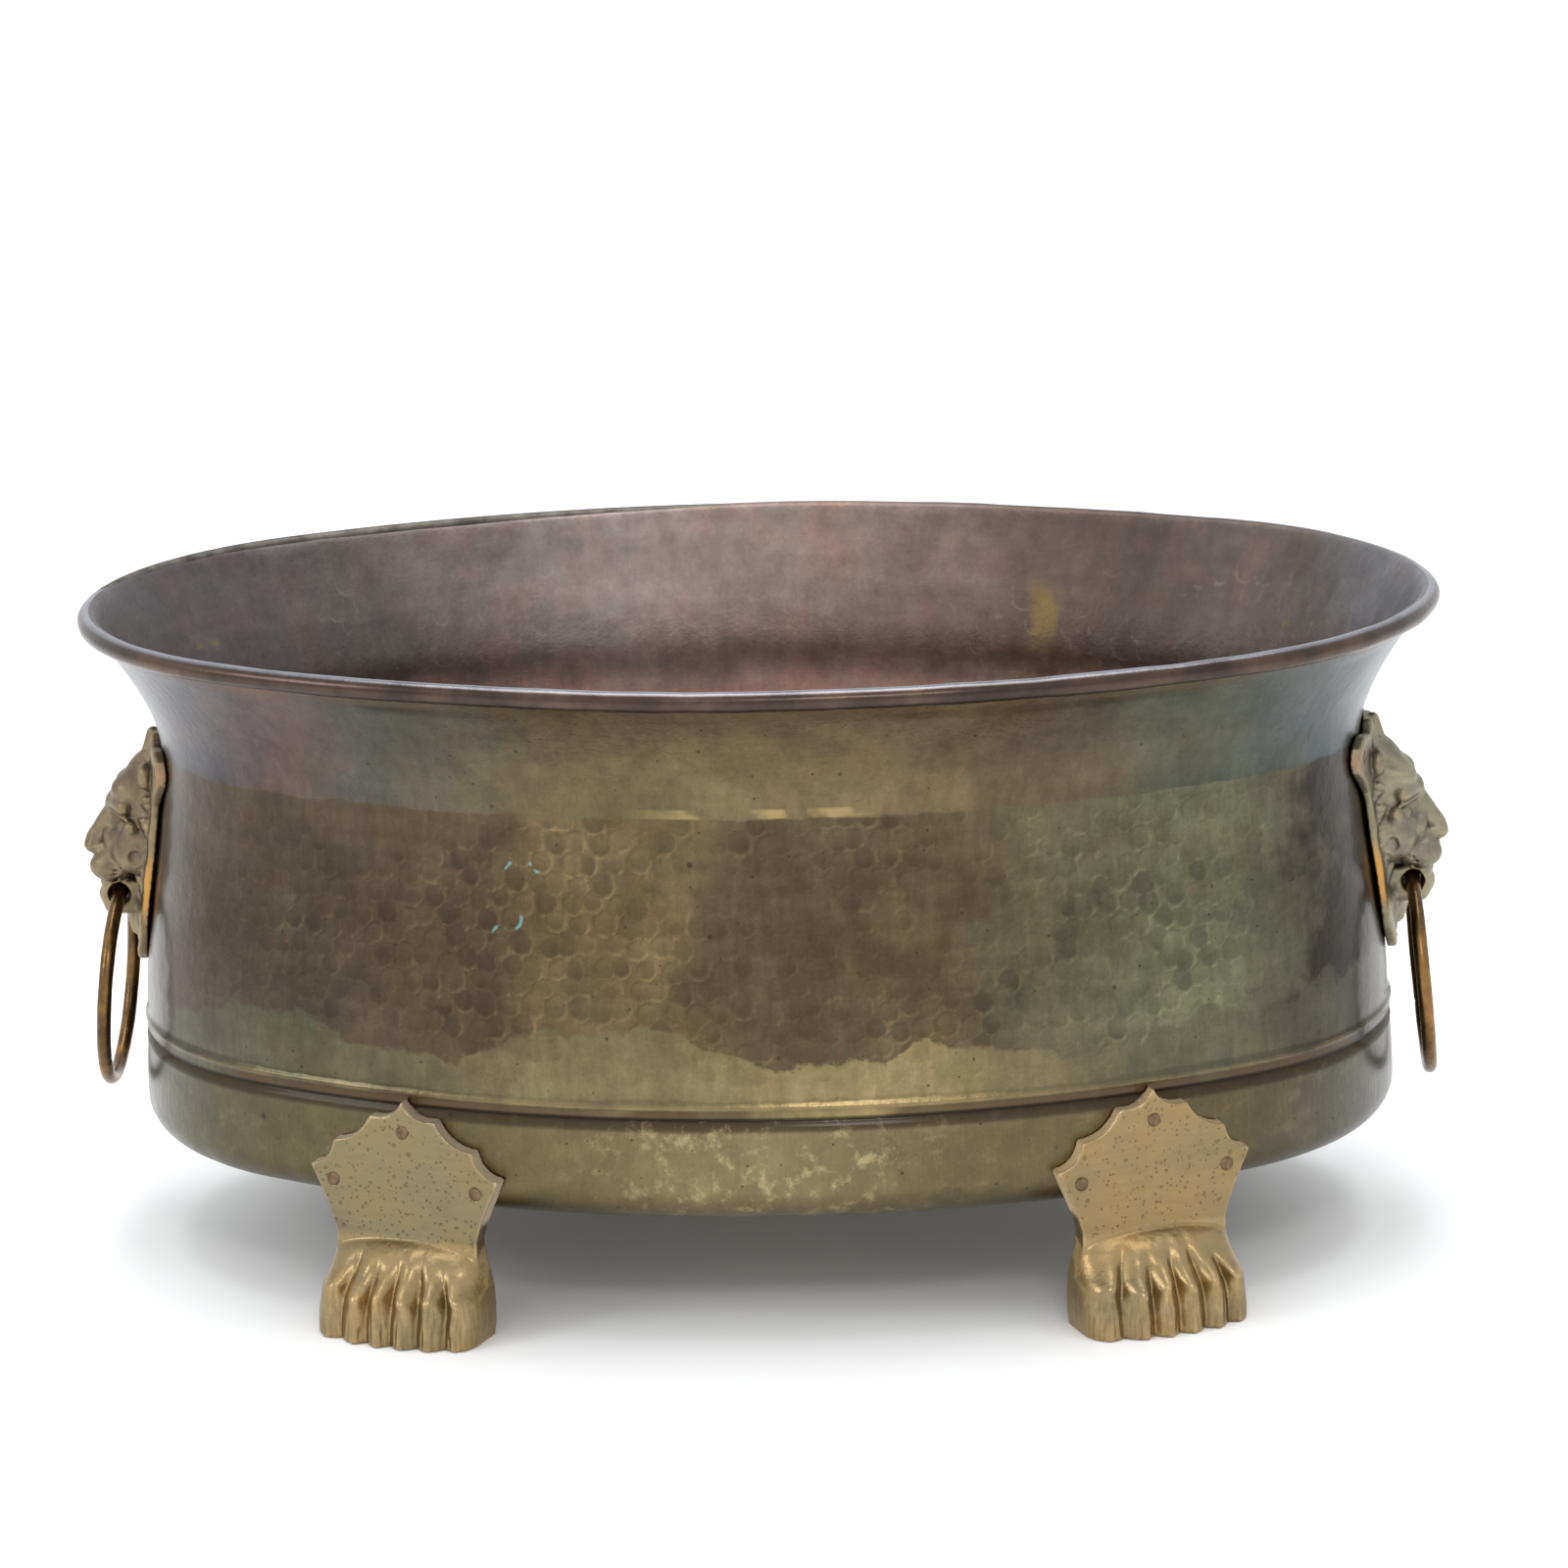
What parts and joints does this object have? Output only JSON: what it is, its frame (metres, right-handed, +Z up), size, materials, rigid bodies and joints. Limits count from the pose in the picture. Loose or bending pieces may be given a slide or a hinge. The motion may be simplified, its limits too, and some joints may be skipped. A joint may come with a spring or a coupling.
{
  "type": "footed planter basin",
  "caption": "Oval hammered brass planter with a flared rolled rim, on cast lion-paw feet, with a lion-mask ring handle at each end.",
  "frame": {"origin": "on the ground, under the middle of the basin", "axes": "+X along the basin's length, to the right seen from the front; -Y to the front; +Z up out of the basin"},
  "size_m": [0.567, 0.3604, 0.2711],
  "materials": {
    "wall_brass": "hammered, dark olive patina, smoother and lighter on the flare",
    "pan_brass": "satin olive patina with scratches",
    "iron_wire": "dull drawn wire",
    "solder": "dull tin solder",
    "cast_brass": "cast, filed and brushed, pitted",
    "mask_brass": "cast, aged, with rubbed edges",
    "ring_brass": "smooth, brown and worn bright",
    "copper": "copper, flush-filed"
  },
  "bodies": {
    "pot": {"basin_wall": "wall_brass", "bottom_pan": "pan_brass", "rim_wire": "iron_wire", "lap_solder": "solder", "foot_front_left": "cast_brass", "foot_front_right": "cast_brass", "foot_back_left": "cast_brass", "foot_back_right": "cast_brass", "foot_rivets_front_left": "copper", "foot_rivets_front_right": "copper", "foot_rivets_back_left": "copper", "foot_rivets_back_right": "copper", "mask_left": "mask_brass", "mask_right": "mask_brass", "mask_rivets_left": "copper", "mask_rivets_right": "copper"},
    "left_ring": {"ring_left": "ring_brass"},
    "right_ring": {"ring_right": "ring_brass"}
  },
  "joints": [
    {"name": "ring_left_swing", "type": "hinge", "parent": "pot", "child": "left_ring", "pos_m": [-0.2685, 0, 0.1454], "axis": [0, 1, 0], "range_deg": [0, 180]},
    {"name": "ring_right_swing", "type": "hinge", "parent": "pot", "child": "right_ring", "pos_m": [0.2685, 0, 0.1454], "axis": [0, -1, 0], "range_deg": [0, 180]}
  ]
}
